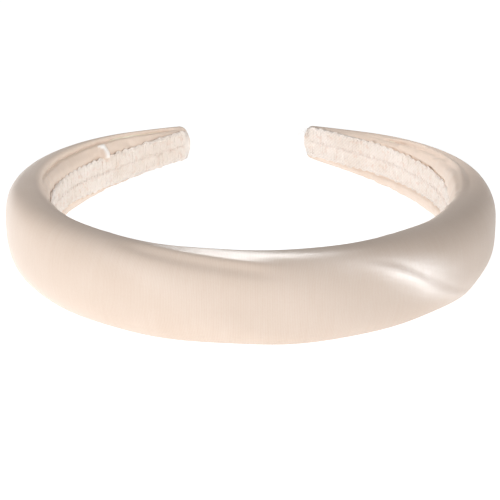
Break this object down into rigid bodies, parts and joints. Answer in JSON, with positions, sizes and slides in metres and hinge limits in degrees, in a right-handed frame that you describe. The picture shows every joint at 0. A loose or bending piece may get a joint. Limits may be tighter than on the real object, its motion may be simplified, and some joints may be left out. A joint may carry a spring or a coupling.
{
  "type": "headband",
  "caption": "Plain padded headband: a springy curved band with a domed foam pad under a blush satin cover and a looped braid lining, which spreads to grip the head.",
  "frame": {"origin": "on the floor plane, under the centre of the bounding box of the band, which lies on one long edge", "axes": "+X to the right half, towards the wearer's left ear; +Y from the crown towards the two tips; +Z across the width of the band, up from the edge it lies on"},
  "size_m": [0.1494, 0.1486, 0.0266],
  "materials": {
    "core_plastic": "matte",
    "tape": "matte",
    "foam": "matte",
    "satin": "satin",
    "braid": "matte",
    "thread": "matte"
  },
  "bodies": {
    "left_half": {"core_left": "core_plastic", "foam_tape_left": "tape", "foam_pad_left": "foam", "satin_cover_left": "satin", "lining_braid_left": "braid", "chain_stitch_left": "thread"},
    "right_half": {"core_right": "core_plastic", "foam_tape_right": "tape", "foam_pad_right": "foam", "satin_cover_right": "satin", "lining_braid_right": "braid", "chain_stitch_right": "thread"}
  },
  "joints": [
    {"name": "crown_flex", "type": "hinge", "parent": "left_half", "child": "right_half", "pos_m": [0, -0.07428, 0.0133], "axis": [0, 0, -1], "range_deg": [0, 22], "stiffness_Nm_per_rad": 0.7}
  ]
}
